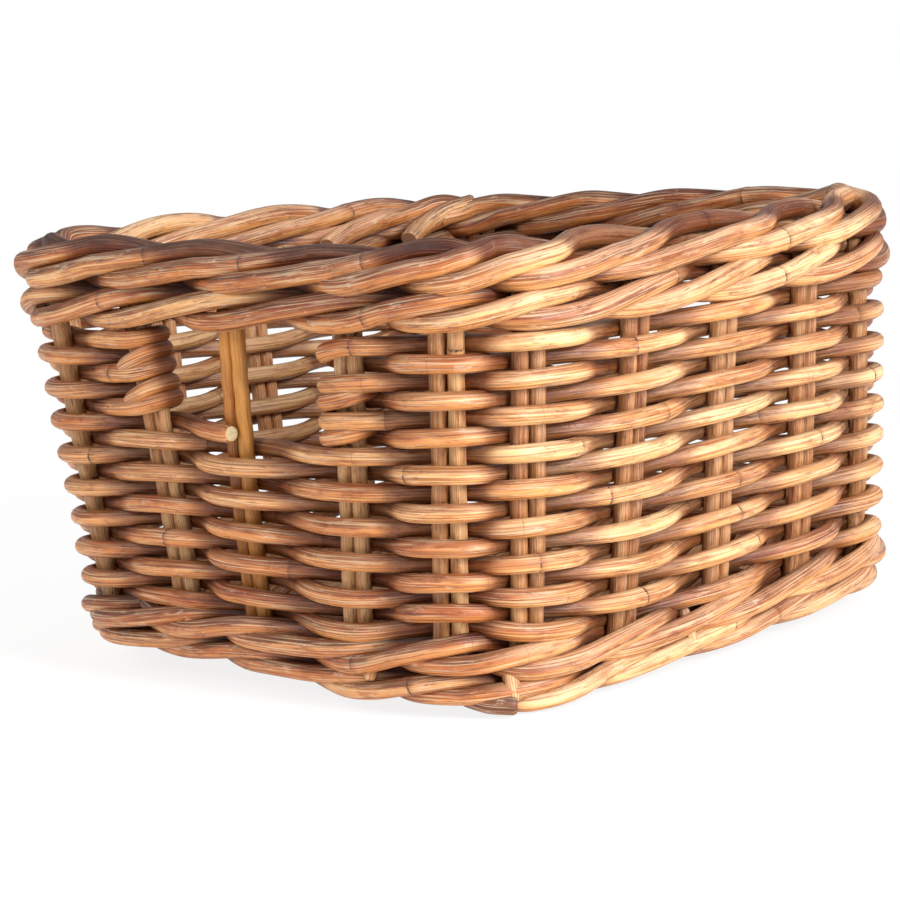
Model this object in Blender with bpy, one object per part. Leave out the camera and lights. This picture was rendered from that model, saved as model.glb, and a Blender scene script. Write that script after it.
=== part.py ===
"""Rectangular rattan basket with a hand hole in each of two opposite walls.

Twenty pairs of upright stakes stand round the wall, five pairs on each side. Every other
rod is woven round those pairs: the foot border, the lower three-rod wale, seventeen rows of
plain over-and-under weaving, the upper three-rod wale and the four-rod border of the rim.
Six rows stop short of each hand hole and are turned back round the pairs beside it.

Lengths are in metres. Z is up, the floor is z = 0, and the origin is the middle of the foot.
The two walls with the hand holes face -Y and +Y.
"""

from math import acos, asin, cos, pi, sin, sqrt, tan

import bmesh
import bpy
from mathutils import Matrix, Vector

# Clearance between rods that lie against each other, and where bent rods cross
GAP = 0.0004
BEND_GAP = 0.0006

# Stakes: two rods side by side, a little flattened where they press together
STAKE_DIAMETER = 0.0087
TWIN_SPREAD_SHARE = 0.94
FLAT_SHARE = 0.88
PAIRS_PER_WALL = 5
WALLS = 4
CORNER_GAP = 0.0404
STAKE_END_ABOVE_FLOOR = 0.0035

# The line of the stakes in plan at the floor, and how much longer and wider it is at the rim
FLOOR_SIZE_X = 0.296
FLOOR_SIZE_Y = 0.326
FLARE_X = 0.048
FLARE_Y = 0.012
CORNER_RADIUS = 0.055

# Woven rods, from the floor up. The foot border is of slightly thinner rod than its wale.
LOWER_WALE_DIAMETER = 0.0080
FOOT_SHARE = 0.925
FLOOR_CUT = 0.0008
WEAVER_DIAMETER = 0.0081
UPPER_WALE_DIAMETER = 0.0090
BORDER_DIAMETER = 0.0093
FULL_ROWS = 11
HOLE_ROWS = 6
# Distance between the two cut ends of a rod that goes once round the basket
END_GAP = 0.0010

# Base: pairs of sticks along X, and one rod woven to and fro across them
BASE_WEAVER_DIAMETER = 0.0076
BASE_RUNS = 15

# Sides of a rod's section, and points on each half of a stake pair's outline
ROD_SIDES = 5
OUTLINE_POINTS = 6
# A strand stays level over this share of a span before it climbs, and again after
EASE_SHARE = 0.09
# The strands of a round braid pass each pair in this order
WALE_OUT_SHARES = (1, 1, -1)
WALE_IN_HEIGHT_SHARES = (-1, 1, 1)
WALE_OUT_HEIGHT_SHARES = (-1, 1, -1)
BORDER_OUT_SHARES = (1, 1, -1, -1)
BORDER_HEIGHT_SHARES = (-1, 1, 1, -1)

# A cutter reaches this far past what it cuts
CUT_OVERRUN = 0.02

PAIRS = PAIRS_PER_WALL * WALLS
# The base sticks are of the same rod as the lower wale
BASE_STICK_DIAMETER = LOWER_WALE_DIAMETER
FOOT_DIAMETER = LOWER_WALE_DIAMETER * FOOT_SHARE
STAKE_RADIUS = STAKE_DIAMETER / 2
TWIN_OFFSET = STAKE_RADIUS * TWIN_SPREAD_SHARE
PAIR_HALF_WIDTH = TWIN_OFFSET + STAKE_RADIUS
# A rod lies straight across a pair over this half length
FLAT_HALF = PAIR_HALF_WIDTH * FLAT_SHARE
ROWS = FULL_ROWS + HOLE_ROWS
ROW_PITCH = WEAVER_DIAMETER + GAP


def depth_at_stake(diameter):
    """Distance from the line of the stakes to the middle of a rod that lies against them."""
    return STAKE_RADIUS + GAP + diameter / 2


def crossing_rise(diameter):
    """Height of a braid's upper strands over its middle.

    Between two pairs one strand climbs on the outside while the strand over it swings across
    to the inside. They are two skew lines, closest at the corners, where the pairs are closest.
    The rise is the one that keeps these lines a rod apart.
    """
    apart = diameter + BEND_GAP
    depth = depth_at_stake(diameter)
    span = CORNER_GAP - 2 * FLAT_HALF
    ease = EASE_SHARE * span
    spread = 4 * depth**2 * (span - ease) ** 2 - apart**2 * (4 * depth**2 + span**2)
    return max(apart / 2, apart * depth * (span - 2 * ease) / sqrt(spread))


def braid_half_height(diameter):
    return crossing_rise(diameter) + diameter / 2


FOOT_Z = braid_half_height(FOOT_DIAMETER) - FLOOR_CUT
LOWER_WALE_Z = FOOT_Z + braid_half_height(FOOT_DIAMETER) + GAP + braid_half_height(LOWER_WALE_DIAMETER)
FIRST_ROW_Z = LOWER_WALE_Z + braid_half_height(LOWER_WALE_DIAMETER) + GAP + WEAVER_DIAMETER / 2
LAST_ROW_Z = FIRST_ROW_Z + (ROWS - 1) * ROW_PITCH
UPPER_WALE_Z = LAST_ROW_Z + WEAVER_DIAMETER / 2 + GAP + braid_half_height(UPPER_WALE_DIAMETER)
BORDER_Z = UPPER_WALE_Z + braid_half_height(UPPER_WALE_DIAMETER) + GAP + braid_half_height(BORDER_DIAMETER)
HEIGHT = BORDER_Z + braid_half_height(BORDER_DIAMETER)

# How far a rod that runs straight between pairs lies inside the curve of a corner
CORNER_SAG = CORNER_RADIUS * (1 - cos(pi / 4 - (CORNER_GAP / 2 + FLAT_HALF) / CORNER_RADIUS))
# Inner face of the lower wale, from the line of the stakes
WALE_FACE = depth_at_stake(LOWER_WALE_DIAMETER) + LOWER_WALE_DIAMETER / 2 + GAP
BASE_TWIN_OFFSET = BASE_STICK_DIAMETER / 2 * TWIN_SPREAD_SHARE
BASE_HALF_WIDTH = BASE_TWIN_OFFSET + BASE_STICK_DIAMETER / 2
BASE_RISE = (BASE_STICK_DIAMETER + BASE_WEAVER_DIAMETER) / 2 + GAP
# Corners of a hexagon whose sides lie just closer than the base rise
BASE_TURN_RADIUS = (BASE_RISE - GAP) / cos(pi / 6)


def half_sizes(z):
    """Half length along X and along Y of the line of the stakes at height z."""
    share = z / HEIGHT
    return (FLOOR_SIZE_X + FLARE_X * share) / 2, (FLOOR_SIZE_Y + FLARE_Y * share) / 2


def wall_lengths(z):
    """Length of each wall along the line of the stakes, from one corner's middle to the next."""
    half_x, half_y = half_sizes(z)
    bend = CORNER_RADIUS * pi / 2
    along_x = 2 * (half_x - CORNER_RADIUS) + bend
    along_y = 2 * (half_y - CORNER_RADIUS) + bend
    return [along_x, along_y, along_x, along_y]


def pair_place(pair, z):
    """Distance round the wall, from the first corner's middle, of a pair counted from 0."""
    turns, pair = divmod(pair, PAIRS)
    wall, step = divmod(pair, PAIRS_PER_WALL)
    lengths = wall_lengths(z)
    stride = (lengths[wall] - CORNER_GAP) / (PAIRS_PER_WALL - 1)
    return turns * sum(lengths) + sum(lengths[:wall]) + CORNER_GAP / 2 + step * stride


def wall_point(place, z, out=0.0):
    """Point at a distance round the wall, at height z, moved out from the line of the stakes."""
    lengths = wall_lengths(z)
    place %= sum(lengths)
    wall = 0
    while place > lengths[wall]:
        place -= lengths[wall]
        wall += 1
    half_x, half_y = half_sizes(z)
    half_along, half_across = (half_x, half_y) if wall % 2 == 0 else (half_y, half_x)
    along = place - lengths[wall] / 2
    straight = half_along - CORNER_RADIUS
    turn = max(abs(along) - straight, 0) / CORNER_RADIUS
    side = 1 if along > 0 else -1
    if turn:
        along = side * (straight + (CORNER_RADIUS + out) * sin(turn))
    across = half_across - CORNER_RADIUS + (CORNER_RADIUS + out) * cos(turn)
    facing = (wall - 1) * pi / 2
    outward = Vector((cos(facing), sin(facing)))
    forward = Vector((-sin(facing), cos(facing)))
    flat = forward * along + outward * across
    return Vector((flat.x, flat.y, z))


def span_after(pair):
    """Distance round the wall, at mid height, from a pair's side to the next pair's side."""
    z = HEIGHT / 2
    return pair_place(pair + 1, z) - pair_place(pair, z) - 2 * FLAT_HALF


def passing(pair, z_in, z_out, out, early=0.0, late=0.0):
    """The two points of a rod that lies straight across a pair, and maybe on past its sides."""
    return [
        wall_point(pair_place(pair, z_in) - FLAT_HALF - early, z_in, out),
        wall_point(pair_place(pair, z_out) + FLAT_HALF + late, z_out, out),
    ]


def new_collection(name):
    collection = bpy.data.collections.new(name)
    bpy.context.scene.collection.children.link(collection)
    return collection


def new_material(name, colour, roughness):
    material = bpy.data.materials.new(name)
    material.use_nodes = True
    shader = material.node_tree.nodes["Principled BSDF"]
    shader.inputs["Base Color"].default_value = (*colour, 1.0)
    shader.inputs["Roughness"].default_value = roughness
    shader.inputs["Metallic"].default_value = 0.0
    return material


def rod_section(diameter, collection):
    """Closed outline of a rod, a guide that the rod's curve is swept with."""
    curve = bpy.data.curves.new("rod_section", "CURVE")
    curve.dimensions = "2D"
    spline = curve.splines.new("POLY")
    spline.points.add(ROD_SIDES - 1)
    for index, point in enumerate(spline.points):
        angle = 2 * pi * (index + 0.5) / ROD_SIDES
        point.co = (diameter / 2 * sin(angle), diameter / 2 * cos(angle), 0, 1)
    spline.use_cyclic_u = True
    guide = bpy.data.objects.new("rod_section", curve)
    guide.hide_render = True
    guide.display_type = "WIRE"
    collection.objects.link(guide)
    return guide


def rod(name, points, section, material, collection):
    """A rod along a path of points, with a cut face at each end."""
    curve = bpy.data.curves.new(name, "CURVE")
    curve.dimensions = "3D"
    curve.twist_mode = "Z_UP"
    curve.bevel_mode = "OBJECT"
    curve.bevel_object = section
    curve.use_fill_caps = True
    spline = curve.splines.new("POLY")
    spline.points.add(len(points) - 1)
    for target, point in zip(spline.points, points):
        target.co = (*point, 1)
    spline.use_smooth = True
    curve.materials.append(material)
    placed = bpy.data.objects.new(name, curve)
    collection.objects.link(placed)
    return placed


def pair_outline(diameter):
    """Outline of two round rods side by side, joined where they press together."""
    radius = diameter / 2
    offset = radius * TWIN_SPREAD_SHARE
    reach = acos(-TWIN_SPREAD_SHARE)
    outline = []
    for side in (1, -1):
        for step in range(OUTLINE_POINTS):
            angle = reach * (2 * step / OUTLINE_POINTS - 1)
            outline.append((side * (offset + radius * cos(angle)), side * radius * sin(angle)))
    return outline


def twin_rods(name, diameter, length, material):
    """Curve of a straight pair of rods of this length, along Z and centred on its middle."""
    curve = bpy.data.curves.new(name, "CURVE")
    curve.dimensions = "2D"
    curve.fill_mode = "BOTH"
    curve.extrude = length / 2
    spline = curve.splines.new("POLY")
    outline = pair_outline(diameter)
    spline.points.add(len(outline) - 1)
    for target, (x, y) in zip(spline.points, outline):
        target.co = (x, y, 0, 1)
    spline.use_cyclic_u = True
    curve.materials.append(material)
    return curve


def place_twin(name, curve, low, high, across, collection):
    """Places a pair of rods from one point to another, its twins side by side along a direction."""
    upward = (high - low).normalized()
    side = (across - upward * across.dot(upward)).normalized()
    turned = Matrix((side, upward.cross(side), upward)).transposed().to_4x4()
    placed = bpy.data.objects.new(name, curve)
    placed.matrix_world = Matrix.Translation((low + high) / 2) @ turned
    collection.objects.link(placed)
    return placed


def make_stakes(material, collection):
    """The upright pairs, from just over the floor to the middle of the rim's border."""
    for pair in range(PAIRS):
        low = wall_point(pair_place(pair, STAKE_END_ABOVE_FLOOR), STAKE_END_ABOVE_FLOOR)
        high = wall_point(pair_place(pair, BORDER_Z), BORDER_Z)
        place = pair_place(pair, 0)
        across = wall_point(place + STAKE_RADIUS, 0) - wall_point(place - STAKE_RADIUS, 0)
        name = f"stake_pair_{pair + 1:02d}"
        curve = twin_rods(name, STAKE_DIAMETER, (high - low).length, material)
        place_twin(name, curve, low, high, across, collection)


def row_z(row):
    """Height of a row of weaving, counted from 1 at the bottom."""
    return FIRST_ROW_Z + (row - 1) * ROW_PITCH


def row_side(row, pair):
    """1 where a row passes outside a pair, -1 where it passes inside."""
    return 1 if (row + pair) % 2 == 0 else -1


def full_row_points(row):
    """One rod round the whole wall, its ends meeting inside behind a pair."""
    z = row_z(row)
    depth = depth_at_stake(WEAVER_DIAMETER)
    first = row * PAIRS_PER_WALL + (0 if row_side(row, row * PAIRS_PER_WALL) < 0 else 1)
    join = pair_place(first, z)
    points = [wall_point(join + END_GAP / 2, z, -depth), wall_point(join + FLAT_HALF, z, -depth)]
    for pair in range(first + 1, first + PAIRS):
        points += passing(pair, z, z, row_side(row, pair) * depth)
    points += [wall_point(join - FLAT_HALF, z, -depth), wall_point(join - END_GAP / 2, z, -depth)]
    return points


def turn_back(pair, z_from, z_to, side, ahead):
    """Half a turn of a weaver round a pair beside a hand hole, from one row to the next."""
    depth = depth_at_stake(WEAVER_DIAMETER)
    points = []
    for share in (0, 0.25, 0.5, 0.75, 1):
        z = z_from + (z_to - z_from) * share
        along = ahead * (TWIN_OFFSET + depth * sin(pi * share))
        points.append(wall_point(pair_place(pair, z) + along, z, side * depth * cos(pi * share)))
    return points


def panel_points(first_pair, last_pair):
    """One rod woven to and fro between two hand holes, turned back round the edge pairs.

    It starts at the foot of the hole past the last pair, where its cut end rests on the
    outside of the middle pair, and ends outside the last pair, under the upper wale.
    """
    depth = depth_at_stake(WEAVER_DIAMETER)
    z = row_z(FULL_ROWS + 1)
    middle = last_pair + 1
    points = [wall_point(pair_place(middle, z) - TWIN_OFFSET + END_GAP, z, depth)]
    points.append(wall_point(pair_place(middle, z) - FLAT_HALF, z, depth))
    points += reversed(passing(last_pair, z, z, -depth))
    for row in range(FULL_ROWS + 1, ROWS + 1):
        z = row_z(row)
        back = (row - FULL_ROWS) % 2 == 1
        inner = range(first_pair + 1, last_pair)
        for pair in reversed(inner) if back else inner:
            span = passing(pair, z, z, row_side(row, pair) * depth)
            points += reversed(span) if back else span
        edge, ahead = (first_pair, -1) if back else (last_pair, 1)
        side = row_side(row, edge)
        near = wall_point(pair_place(edge, z) - ahead * FLAT_HALF, z, side * depth)
        if row < ROWS:
            points.append(near)
            points += turn_back(edge, z, row_z(row + 1), side, ahead)
            after = row_z(row + 1)
            points.append(wall_point(pair_place(edge, after) - ahead * FLAT_HALF, after, -side * depth))
        else:
            points += [near, wall_point(pair_place(edge, z) + ahead * FLAT_HALF, z, side * depth)]
    return points


def braid_points(first, last, start, middle_z, diameter, outs, heights_in, heights_out):
    """A strand of a braid, from the middle of one inner pass to the middle of another.

    The strand repeats one pattern every few pairs: outs says on which side it passes each
    pair, and the heights at which it comes to the pair and leaves it, in shares of the rise.
    """
    depth = depth_at_stake(diameter)
    rise = crossing_rise(diameter)
    points = []
    for pair in range(first, last + 1):
        phase = (pair - start) % len(outs)
        following = (phase + 1) % len(outs)
        z_in = middle_z + heights_in[phase] * rise
        z_out = middle_z + heights_out[phase] * rise
        early = span_after(pair - 1) * EASE_SHARE if outs[phase] == outs[phase - 1] else 0.0
        late = span_after(pair) * EASE_SHARE if outs[phase] == outs[following] else 0.0
        points += passing(pair, z_in, z_out, outs[phase] * depth, early, late)
    return points


def shorten(points, at_start, at_end):
    """Cuts a path's first and last stretch to the middle of the pair they lie behind."""
    start = (points[0] + points[1]) / 2
    end = (points[-1] + points[-2]) / 2
    start += (points[1] - points[0]).normalized() * at_start
    end -= (points[-1] - points[-2]).normalized() * at_end
    return [start, *points[1:-1], end]


def wale_strands(middle_z, diameter):
    """Three rods, each outside two pairs and inside one, in turn.

    Laid end to end they go three times round, and each cut end lies behind a pair.
    """
    period = len(WALE_OUT_SHARES)
    strokes = [PAIRS // period + (1 if rod_index < PAIRS % period else 0) for rod_index in range(period)]
    strands = []
    start = 0
    for count in strokes:
        first = start - 1
        last = start + count * period - 1
        points = braid_points(
            first,
            last,
            start,
            middle_z,
            diameter,
            WALE_OUT_SHARES,
            WALE_IN_HEIGHT_SHARES,
            WALE_OUT_HEIGHT_SHARES,
        )
        strands.append(shorten(points, END_GAP / 2, END_GAP / 2))
        start += count * period
    return strands


def border_strands():
    """Four rods wound round the tops of the stakes, each rising over two pairs outside."""
    period = len(BORDER_OUT_SHARES)
    strands = []
    for start in range(period):
        points = braid_points(
            start - 1,
            start - 1 + PAIRS,
            start,
            BORDER_Z,
            BORDER_DIAMETER,
            BORDER_OUT_SHARES,
            BORDER_HEIGHT_SHARES,
            BORDER_HEIGHT_SHARES,
        )
        strands.append(shorten(points, END_GAP / 2, END_GAP / 2))
    return strands


def as_mesh(placed, collection):
    """Turns a curve object into a mesh object with its caps welded on."""
    graph = bpy.context.evaluated_depsgraph_get()
    mesh = bpy.data.meshes.new_from_object(placed.evaluated_get(graph))
    name = placed.name
    matrix = placed.matrix_world.copy()
    bpy.data.objects.remove(placed)
    weld = bmesh_of(mesh)
    bmesh.ops.remove_doubles(weld, verts=weld.verts, dist=GAP / 100)
    weld.to_mesh(mesh)
    weld.free()
    mesh.name = name
    solid = bpy.data.objects.new(name, mesh)
    solid.matrix_world = matrix
    collection.objects.link(solid)
    return solid


def bmesh_of(mesh):
    loaded = bmesh.new()
    loaded.from_mesh(mesh)
    return loaded


def floor_cutter(collection):
    """A slab under the floor that cuts the foot border flat."""
    half_x, half_y = half_sizes(0)
    reach = depth_at_stake(FOOT_DIAMETER) + FOOT_DIAMETER + CUT_OVERRUN
    bpy.ops.mesh.primitive_cube_add(size=1, location=(0, 0, -CUT_OVERRUN / 2))
    cutter = bpy.context.object
    cutter.name = "floor_cutter"
    cutter.scale = (2 * (half_x + reach), 2 * (half_y + reach), CUT_OVERRUN)
    for holder in cutter.users_collection:
        holder.objects.unlink(cutter)
    collection.objects.link(cutter)
    cutter.hide_render = True
    cutter.display_type = "WIRE"
    return cutter


def cut_flat(solid, cutter):
    cut = solid.modifiers.new("flat_foot", "BOOLEAN")
    cut.operation = "DIFFERENCE"
    cut.solver = "EXACT"
    cut.object = cutter


def base_reach(across, inset):
    """Half length along X of a base stick at this Y, kept an inset from the line of the stakes."""
    half_x, half_y = half_sizes(LOWER_WALE_Z)
    past = abs(across) - (half_y - CORNER_RADIUS)
    if past <= 0:
        return half_x - inset
    return half_x - CORNER_RADIUS + sqrt((CORNER_RADIUS - inset) ** 2 - past**2)


def base_stick_lines():
    """Y of each pair of base sticks: two outer ones, two let in between stakes, two between."""
    inner = base_let_in_line()
    turn_room = BASE_TWIN_OFFSET + BASE_TURN_RADIUS + BASE_WEAVER_DIAMETER / 2
    outer = half_sizes(LOWER_WALE_Z)[1] - WALE_FACE - CORNER_SAG - turn_room
    between = (inner + outer) / 2
    return [-outer, -between, -inner, inner, between, outer]


def base_let_in_line():
    """Y of the base sticks that are let in halfway between two stake pairs."""
    return (wall_lengths(LOWER_WALE_Z)[1] - CORNER_GAP) / (PAIRS_PER_WALL - 1) / 2


def let_in_inset():
    """Distance from the line of the stakes to a let-in stick's end.

    It touches the two wale rods that cross from one side of the wall to the other there.
    """
    slant = depth_at_stake(LOWER_WALE_DIAMETER) / (base_let_in_line() - FLAT_HALF)
    rod_face = LOWER_WALE_DIAMETER / 2 * cos(pi / ROD_SIDES)
    return rod_face * sqrt(1 + slant**2) + BASE_HALF_WIDTH * slant + GAP


def base_peak(spacing):
    """Height of a base weaver over a stick pair, where its straight slopes clear both twins."""
    slope = asin(BASE_RISE / (spacing / 2 - BASE_TWIN_OFFSET))
    return spacing / 2 * tan(slope)


def base_turn(edge, outward, x, step, rise_in):
    """Points of the base weaver's turn round an outer stick pair, from one run to the next.

    Those past the outer twin are corners of a hexagon whose sides clear it.
    """
    over = 1 if rise_in > 0 else -1
    inner = edge - outward * BASE_TWIN_OFFSET
    points = [Vector((x, inner, LOWER_WALE_Z + rise_in))]
    for share in (1 / 6, 1 / 2, 5 / 6):
        out = BASE_TWIN_OFFSET + BASE_TURN_RADIUS * sin(pi * share)
        rise = over * BASE_TURN_RADIUS * cos(pi * share)
        points.append(Vector((x + step * share, edge + outward * out, LOWER_WALE_Z + rise)))
    return [*points, Vector((x + step, inner, LOWER_WALE_Z - rise_in))]


def base_weaver_points(lines):
    """One rod woven to and fro across the base sticks, turned back round the outer two."""
    peak = base_peak(lines[1] - lines[0])
    half_run = base_reach(lines[-1] + BASE_HALF_WIDTH, WALE_FACE + BASE_WEAVER_DIAMETER)
    step = 2 * half_run / (BASE_RUNS - 1)
    start = Vector((-half_run, lines[0], LOWER_WALE_Z + peak))
    overhang = Vector((0, BASE_HALF_WIDTH, 0))
    points = [start - overhang, start + overhang]
    for run in range(BASE_RUNS):
        x = -half_run + run * step
        outward = 1 if run % 2 == 0 else -1
        over = -1
        for across in lines[1:-1]:
            points.append(Vector((x, outward * across, LOWER_WALE_Z + over * peak)))
            over = -over
        if run < BASE_RUNS - 1:
            points += base_turn(outward * lines[-1], outward, x, step, over * peak)
    finish = Vector((half_run, outward * lines[-1], LOWER_WALE_Z + over * peak))
    return [*points, finish - outward * overhang, finish + outward * overhang]


def make_base(stick_material, weaver_material, collection, guides):
    lines = base_stick_lines()
    for index, across in enumerate(lines):
        between_stakes = index in (len(lines) // 2 - 1, len(lines) // 2)
        inset = let_in_inset() if between_stakes else WALE_FACE + BASE_WEAVER_DIAMETER / 2
        reach = base_reach(abs(across) + BASE_HALF_WIDTH, inset)
        name = f"base_stick_pair_{index + 1}"
        curve = twin_rods(name, BASE_STICK_DIAMETER, 2 * reach, stick_material)
        low = Vector((-reach, across, LOWER_WALE_Z))
        high = Vector((reach, across, LOWER_WALE_Z))
        place_twin(name, curve, low, high, Vector((0, 1, 0)), collection)
    section = rod_section(BASE_WEAVER_DIAMETER, guides)
    rod("base_weaver", base_weaver_points(lines), section, weaver_material, collection)


def clear_scene():
    for item in list(bpy.data.objects):
        bpy.data.objects.remove(item, do_unlink=True)


def main():
    clear_scene()
    basket = new_collection("woven_basket")
    guides = new_collection("cutters_and_guides")
    pale_cane = new_material("pale_cane", (0.60, 0.42, 0.20), 0.55)
    honey_cane = new_material("honey_cane", (0.47, 0.25, 0.11), 0.50)
    red_cane = new_material("red_cane", (0.36, 0.17, 0.09), 0.50)

    make_stakes(pale_cane, basket)
    make_base(pale_cane, honey_cane, basket, guides)

    weaver = rod_section(WEAVER_DIAMETER, guides)
    for row in range(1, FULL_ROWS + 1):
        rod(f"row_weaver_{row:02d}", full_row_points(row), weaver, honey_cane, basket)
    hole = PAIRS_PER_WALL // 2
    half_round = PAIRS // 2
    for side in range(2):
        first = hole + side * half_round + 1
        points = panel_points(first, first + half_round - 2)
        rod(f"panel_weaver_{side + 1}", points, weaver, honey_cane, basket)

    braids = [
        ("lower_wale_rod", wale_strands(LOWER_WALE_Z, LOWER_WALE_DIAMETER), LOWER_WALE_DIAMETER),
        ("upper_wale_rod", wale_strands(UPPER_WALE_Z, UPPER_WALE_DIAMETER), UPPER_WALE_DIAMETER),
        ("border_rod", border_strands(), BORDER_DIAMETER),
    ]
    for name, strands, diameter in braids:
        section = rod_section(diameter, guides)
        for index, points in enumerate(strands):
            rod(f"{name}_{index + 1}", points, section, red_cane, basket)

    foot = rod_section(FOOT_DIAMETER, guides)
    cutter = floor_cutter(guides)
    for index, points in enumerate(wale_strands(FOOT_Z, FOOT_DIAMETER)):
        strand = rod(f"foot_border_rod_{index + 1}", points, foot, red_cane, basket)
        cut_flat(as_mesh(strand, basket), cutter)


main()
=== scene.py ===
"""Looks of the rattan basket: every rod as it lies in a handmade basket, and its cane.

A rod is a round section carried along a smooth line. The line follows the wall: `pair` counts
the stake pairs round the basket, `out` is the distance from the line of the stakes, and z is
the height. Lengths are in metres unless a name ends in _MM.
"""

from collections import namedtuple

import bpy
import numpy as np
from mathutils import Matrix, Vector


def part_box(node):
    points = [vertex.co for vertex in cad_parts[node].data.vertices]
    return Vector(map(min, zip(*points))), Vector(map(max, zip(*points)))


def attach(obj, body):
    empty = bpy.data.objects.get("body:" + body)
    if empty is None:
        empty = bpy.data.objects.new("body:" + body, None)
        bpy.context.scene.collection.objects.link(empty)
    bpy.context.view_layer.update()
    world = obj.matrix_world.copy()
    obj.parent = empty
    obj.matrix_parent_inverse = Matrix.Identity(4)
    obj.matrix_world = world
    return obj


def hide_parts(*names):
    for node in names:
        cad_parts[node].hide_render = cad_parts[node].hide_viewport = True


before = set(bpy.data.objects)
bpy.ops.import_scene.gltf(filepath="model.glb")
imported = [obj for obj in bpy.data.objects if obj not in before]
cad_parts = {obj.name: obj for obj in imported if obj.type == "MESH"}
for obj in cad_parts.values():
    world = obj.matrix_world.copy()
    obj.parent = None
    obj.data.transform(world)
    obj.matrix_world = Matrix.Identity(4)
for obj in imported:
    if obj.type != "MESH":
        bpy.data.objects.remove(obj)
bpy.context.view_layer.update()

# Sizes shared with the solids
STAKE_RADIUS = 0.00435
TWIN_OFFSET = STAKE_RADIUS * 0.94
STICK_RADIUS = 0.0041
STICK_OFFSET = 0.00445
CORNER_GAP = 0.0404
PAIRS_PER_WALL = 5
PAIRS = 20
FLOOR_SIZE = np.array([0.296, 0.326])
RIM_SIZE = np.array([0.344, 0.338])
CORNER_RADIUS = 0.055
HEIGHT = 0.22219
FOOT_Z = 0.00751
LOWER_WALE_Z = 0.02535
FIRST_ROW_Z = 0.03892
ROW_PITCH = 0.0085
FULL_ROWS = 11
ROWS = 17
UPPER_WALE_Z = 0.1896
BORDER_Z = 0.2115
HOLE_PAIRS = (2, 12)
# Mean distance from one pair to the next
PAIR_SPACING = 0.062

WEAVER_RADIUS = 0.0046
# How far a weaver and a stake are pressed into each other
PRESSED = 0.0003
# The sticks that cross a hand hole are slimmer, closer together and straighter, by these shares
HOLE_STICK_RADIUS = 0.96
HOLE_STICK_OFFSET = 0.91
HOLE_STICK_UNEVEN = 0.2
# The stakes start and end at these heights, under the strands of the rim
STAKE_BOTTOM = 0.0035
STAKE_TOP = BORDER_Z - 0.007
# How far the rows push a stake out and in
STAKE_PUSH = 0.0003

# A band of braided rods: height of the middle, radius of a rod, how far it climbs over and
# under the middle, how much further out than against the stakes it lies, how many pairs its
# highest place comes later than a quarter of the pattern past the middle of its stroke, and
# what share of its upper half is the wave's cube, which makes it pointed
Band = namedtuple("Band", "middle radius climb push late pointed")
FOOT_BAND = Band(FOOT_Z + 0.0008, 0.0046, 0.0042, -0.0018, 0.1, 0.0)
LOWER_BAND = Band(LOWER_WALE_Z, 0.0049, 0.0056, 0.0005, 0.15, 0.0)
UPPER_BAND = Band(UPPER_WALE_Z + 0.0010, 0.0052, 0.0060, 0.0005, 0.15, 0.0)
BORDER_BAND = Band(BORDER_Z - 0.0016, 0.0054, 0.0079, 0.0012, 0.34, 0.5)
# How its rods cross: in how many pairs the pattern repeats, where a rod starts to come out and
# how long that takes, where it starts to go in and how long that takes, how round it lies, and
# how much nearer to the line of the stakes it lies at its highest place
Crossing = namedtuple("Crossing", "period comes_out out_takes goes_in in_takes roundness closed")
WALE_CROSSING = Crossing(3, -1.0, 1.0, 1.0, 1.0, 0.4, 0.0)
RIM_CROSSING = Crossing(4, -0.7, 0.95, 1.22, 0.48, 0.12, 0.5)
# How far the rim's strokes run ahead of the stakes, in pairs
STROKES_AHEAD = [0, 0, 0, 0, 0, 0.15, 0.28, 0, 0, 0, 0, 0, 0, 0.1, 0.25, 0.4, 0.3, 0.2, 0.05, 0]

# Base: offset and radius of a pair's sticks, the rod's radius, how far it lies over and under
# the sticks, how far its outer passes lie inside the edge of the solid, how much further than
# that it turns beyond the outer sticks, its passes, and how much further out they lie halfway
# along
BASE_STICK_OFFSET = 0.00376
BASE_STICK_RADIUS = 0.004
BASE_WEAVER_RADIUS = 0.0041
BASE_RISE = 0.0083
BASE_EDGE = 0.0038
BASE_TURN_REACH = 0.0085
BASE_RUNS = 43
BASE_BOW = 0.27

# Resolution of the rods: sides of a ring, and the distances from ring to ring
SIDES = 16
BASE_SIDES = 12
RING_STEP = 0.0016
BASE_RING_STEP = 0.0024
CUT_END_RING_STEP = 0.0008
MM = 1000.0

# The cane's nodes, the rings the plant had where its leaves grew: their distance apart, the
# shift of each at most, the share by which the rod swells there, and half the swelling's length
NODE_SPACING = 0.27
NODE_SHIFT = 0.08
NODE_SWELL = 0.05
NODE_REACH = 0.0024
# A cut end is rounded by this share of the radius, over this length
END_ROUNDING = 0.22
END_REACH = 0.0009
# A section is oval by this share, and a rod's thickness wobbles by this share
OVAL = 0.03
THICKNESS_WOBBLE = 0.03

# Painted shade in the weave: full up to this distance from the line of the stakes, and gone
# this much further out. The inside has this share of the painted shade, from this far in and
# this far below the rim.
WEAVE_SHADE_FULL = 0.003
WEAVE_SHADE_FADE = 0.0075
INSIDE_SHADE_SHARE = 0.55
INSIDE_FADE = 0.006
RIM_FADE = 0.015

# Light: the surroundings at the horizon and overhead, the table's own glow, and two lamps in W
HORIZON_LIGHT = 0.52
OVERHEAD_LIGHT = 0.46
TABLE_GLOW = 0.25
KEY_POWER = 42
FILL_POWER = 13
# The place that the lamps face, and how far the floor reaches
LAMP_AIM = (0, 0, 0.1)
FLOOR_HALF_SIZE = 9

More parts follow.
